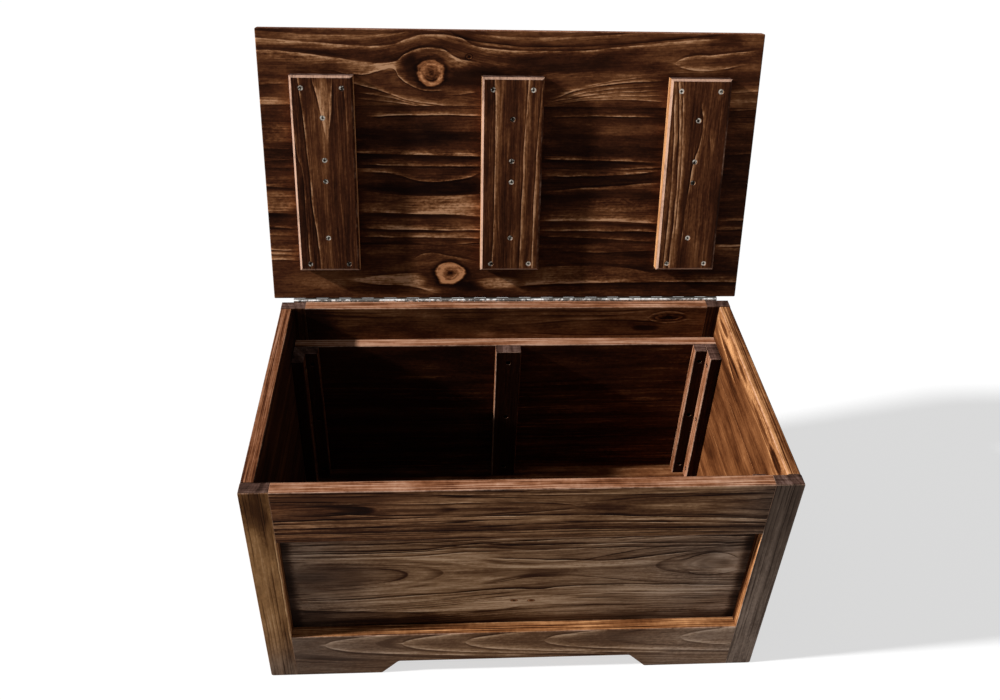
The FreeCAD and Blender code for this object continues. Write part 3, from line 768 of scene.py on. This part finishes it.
    wood("lid_board_2", grain=Grain(
        63.8, pith=(420.0, 90.0), ring=14.0, shade=-0.12, waves=3.0, **style,
        patches=(Patch(-110.0, 172.0, 90.0, 18.0, 0.34), Patch(190.0, 172.0, 90.0, 20.0, 0.24),
                 Patch(-150.0, 205.0, 130.0, 9.0, -0.14), Patch(-190.0, 92.0, 80.0, 18.0, -0.14),
                 Patch(-395.0, 178.0, 40.0, 22.0, 0.22), Patch(-110.0, 118.0, 75.0, 7.0, 0.12),
                 Patch(210.0, 112.0, 60.0, 8.0, 0.14)),
        streaks=(
            Streak(((-250.0, 230.0), (-202.0, 227.0), (-142.0, 213.0), (-100.0, 216.0),
                    (-50.0, 230.0)), 4.0, 0.55),
            Streak(((66.0, 224.0), (190.0, 226.0), (250.0, 232.0)), 4.0, 0.6),
            Streak(((-245.0, 194.5), (-160.0, 187.5), (-50.0, 190.0)), -9.0, 0.4),
            Streak(((66.0, 196.0), (160.0, 204.0), (250.0, 210.0)), -4.0, 0.45),
            Streak(((-256.0, 159.5), (-160.0, 156.5), (-50.0, 152.0)), 7.0, 0.65),
            Streak(((60.0, 143.5), (160.0, 144.0), (260.0, 138.5)), 8.0, 0.65),
            Streak(((-252.0, 130.0), (-160.0, 127.0), (-50.0, 126.5)), 5.0, 0.75),
            Streak(((60.0, 126.0), (160.0, 125.5), (260.0, 124.0)), 4.0, 0.65),
            Streak(((-245.0, 114.5), (-50.0, 112.0)), 3.0, 0.45),
            Streak(((62.0, 115.0), (150.0, 112.0), (255.0, 104.0)), 3.0, 0.35),
            Streak(((-160.0, 103.0), (-127.0, 100.0), (-50.0, 105.0)), 3.0, 0.4),
            Streak(((-430.0, 205.0), (-370.0, 201.0)), 5.0, 0.45),
            Streak(((-430.0, 160.0), (-370.0, 156.0)), 6.0, 0.55),
            Streak(((-430.0, 134.0), (-370.0, 130.0)), 5.0, 0.55),
            Streak(((-430.0, 119.0), (-370.0, 116.0)), 3.0, 0.35),
            Streak(((370.0, 143.0), (430.0, 146.0)), 4.0, 0.45),
            Streak(((370.0, 127.0), (430.0, 129.0)), 4.0, 0.5),
            Streak(((370.0, 215.0), (430.0, 217.0)), 4.0, 0.35))),
        **boards)
    wood("lid_board_1", grain=Grain(
        64.2, pith=(40.0, 60.0), ring=14.0, shade=-0.03, waves=3.0, **style,
        knots=(Knot(-103.0, 47.0, 25.0, 20.0, 0.95, 0.28),),
        patches=(Patch(-172.0, 33.0, 30.0, 14.0, 0.4), Patch(-225.0, 36.0, 60.0, 8.0, 0.28),
                 Patch(-140.0, 14.0, 22.0, 8.0, 0.16), Patch(-20.0, 28.0, 42.0, 13.0, 0.52),
                 Patch(150.0, 40.0, 130.0, 16.0, 0.2), Patch(330.0, 36.0, 110.0, 10.0, 0.14),
                 Patch(-70.0, 22.0, 26.0, 10.0, -0.2), Patch(-330.0, 25.0, 90.0, 20.0, 0.06),
                 Patch(402.0, 99.0, 40.0, 13.0, 0.2)),
        streaks=(
            Streak(((88.0, 87.5), (170.0, 86.5), (258.0, 90.0)), 3.0, 0.45),
            Streak(((60.0, 57.0), (158.0, 60.0), (258.0, 46.0)), -6.0, 0.35),
            Streak(((20.0, 22.0), (70.0, 27.0), (208.0, 29.5), (430.0, 29.0)), 5.0, 0.65),
            Streak(((-276.0, 33.0), (-230.0, 27.0), (-180.0, 24.0), (-130.0, 10.0)), 4.0, 0.45),
            Streak(((-270.0, 35.0), (-200.0, 44.0), (-160.0, 47.0)), -4.0, 0.35),
            Streak(((-165.0, 74.0), (-140.0, 84.0), (-100.0, 78.0), (-60.0, 70.0)), -3.0, 0.3),
            Streak(((-430.0, 92.0), (-370.0, 90.0)), 3.0, 0.5),
            Streak(((-430.0, 84.0), (-370.0, 82.0)), 3.0, 0.4),
            Streak(((-430.0, 74.0), (-370.0, 72.0)), 3.0, 0.6),
            Streak(((370.0, 96.0), (430.0, 98.0)), 4.0, 0.5))),
        **boards)
    battens = {"ways": (LID_UP, X, LID_BACK), "outer": CHARRED, "edge": GOLDEN, "along_start": LID_START}
    lines = {
        "left": (Streak(((50.0, -343.0), (167.0, -347.0), (232.0, -348.0), (262.0, -355.0),
                         (400.0, -362.0)), 2.5, 0.5),
                 Streak(((50.0, -326.0), (117.0, -329.0), (167.0, -334.0), (242.0, -337.0),
                         (400.0, -348.0)), 2.5, 0.6),
                 Streak(((290.0, -306.0), (340.0, -314.0), (385.0, -324.0)), 3.0, 0.5),
                 Streak(((290.0, -303.0), (330.0, -298.0), (385.0, -294.0)), -4.0, 0.5),
                 Streak(((290.0, -272.0), (370.0, -274.0)), 2.0, 0.4)),
        "middle": (Streak(((50.0, -33.0), (232.0, -27.0), (400.0, -30.0)), 2.5, 0.6),
                   Streak(((50.0, 17.0), (232.0, 20.0), (330.0, 23.0), (400.0, 26.0)), 3.0, 0.6),
                   Streak(((50.0, 39.0), (232.0, 40.0), (300.0, 43.0), (400.0, 50.0)), 2.0, 0.5)),
        "right": (Streak(((50.0, 281.0), (232.0, 284.0), (400.0, 270.0)), 3.0, 0.6),
                  Streak(((50.0, 272.0), (232.0, 274.0), (360.0, 267.0)), 2.5, 0.6),
                  Streak(((120.0, 288.0), (232.0, 290.0), (400.0, 276.0)), 2.0, 0.45),
                  Streak(((110.0, 300.0), (155.0, 303.0), (232.0, 308.0), (312.0, 320.0),
                          (345.0, 315.0)), 3.0, 0.6),
                  Streak(((270.0, 338.0), (300.0, 333.0)), 3.0, 0.4)),
    }
    patches = {
        "left": (Patch(345.0, -308.0, 55.0, 10.0, 0.2),),
        "middle": (),
        "right": (Patch(150.0, 272.0, 190.0, 13.0, 0.08), Patch(150.0, 325.0, 90.0, 26.0, 0.08)),
    }
    for number, (side, streaks) in enumerate(lines.items()):
        middle = (number - 1) * BATTEN_SPACING
        wood("lid_batten_" + side, grain=Grain(
            71.0 + number * 1.6, pith=(middle - 90.0, 60.0), ring=6.0, late=0.12, broad=0.3, cloudy=0.25,
            waves=3.0, shade=-0.04 if side == "left" else 0.02, edge_shade=0.4, worn=0.8, higher_arris_shade=0.7,
            fibrous=0.17, streaks=streaks, patches=patches[side]),
            **battens)


def dress_metal():
    """The screws and the hinge. The strips' screws are stained dark with their strips."""
    for node in list(frame["nodes"]):
        if node.startswith("hinge"):
            steel(node, LID_BACK, HINGE_STEEL, 6.0)
        elif node.endswith("strip_screws"):
            steel(node, Y, STAINED_STEEL, 3.0)
        elif node.endswith("screws"):
            steel(node, LID_BACK, SCREW_STEEL, 3.0)


def make_floor():
    """A pale floor that reads white to the camera and keeps the trunk's shadow."""
    half = FLOOR_SIZE / 2
    corners = [(-half, -half, 0), (half, -half, 0), (half, half, 0), (-half, half, 0)]
    mesh = bpy.data.meshes.new("studio_floor")
    mesh.from_pydata(corners, [], [(0, 1, 2, 3)])
    floor = bpy.data.objects.new("studio_floor", mesh)
    bpy.context.scene.collection.objects.link(floor)
    material = bpy.data.materials.new("studio floor")
    material.use_nodes = True
    g = Graph(material.node_tree)
    plain = g.add("BsdfDiffuse", {"Color": (FLOOR_WHITE,) * 3})
    shown = g.add("BsdfDiffuse", {"Color": (FLOOR_SHADOW,) * 3})
    glow = g.add("Emission", {"Color": (1.0, 1.0, 1.0), "Strength": FLOOR_GLOW})
    both = g.add("AddShader", {0: shown.outputs[0], 1: glow.outputs[0]})
    mixed = g.add("MixShader", {0: g.seen_directly(), 1: plain.outputs[0], 2: both.outputs[0]})
    g.add("OutputMaterial", {"Surface": mixed.outputs[0]})
    mesh.materials.append(material)


def make_light():
    """A soft key lamp from the upper left, and an even white sky that the camera sees as white."""
    lamp = bpy.data.lights.new("key", "SUN")
    lamp.angle = math.radians(KEY_SPREAD)
    lamp.energy = KEY_STRENGTH
    key = bpy.data.objects.new("key", lamp)
    bpy.context.scene.collection.objects.link(key)
    key.location = KEY_FROM * KEY_DISTANCE
    key.rotation_mode = "QUATERNION"
    key.rotation_quaternion = (-KEY_FROM).to_track_quat("-Z", "Y")

    world = bpy.data.worlds.new("studio")
    world.use_nodes = True
    bpy.context.scene.world = world
    g = Graph(world.node_tree)
    strength = g.seen_directly().between(0.0, 1.0, SKY_STRENGTH, 1.0)
    sky = g.add("Background", {"Color": (1.0, 1.0, 1.0), "Strength": strength})
    g.add("OutputWorld", {"Surface": sky.outputs[0]})


def make_camera():
    """The camera stands where the photograph was taken from."""
    data = bpy.data.cameras.new("camera")
    data.lens = CAMERA_LENS
    data.sensor_width = SENSOR_WIDTH
    data.sensor_fit = "HORIZONTAL"
    data.shift_y = CAMERA_SHIFT
    camera = bpy.data.objects.new("camera", data)
    bpy.context.scene.collection.objects.link(camera)
    turn = Matrix.Rotation(math.radians(CAMERA_YAW), 4, "Z")
    turn @= Matrix.Rotation(math.radians(-CAMERA_DOWN), 4, "X")
    turn @= Matrix.Rotation(math.radians(CAMERA_ROLL), 4, "Y")
    turn @= Matrix.Rotation(math.radians(90), 4, "X")
    camera.matrix_world = Matrix.Translation(CAMERA_PLACE) @ turn
    bpy.context.scene.camera = camera


line_group = make_line_group()
dress_front()
dress_back()
dress_walls()
dress_inside()
dress_lid()
dress_metal()
make_floor()
make_light()
make_camera()
bpy.context.scene.view_settings.view_transform = "Standard"
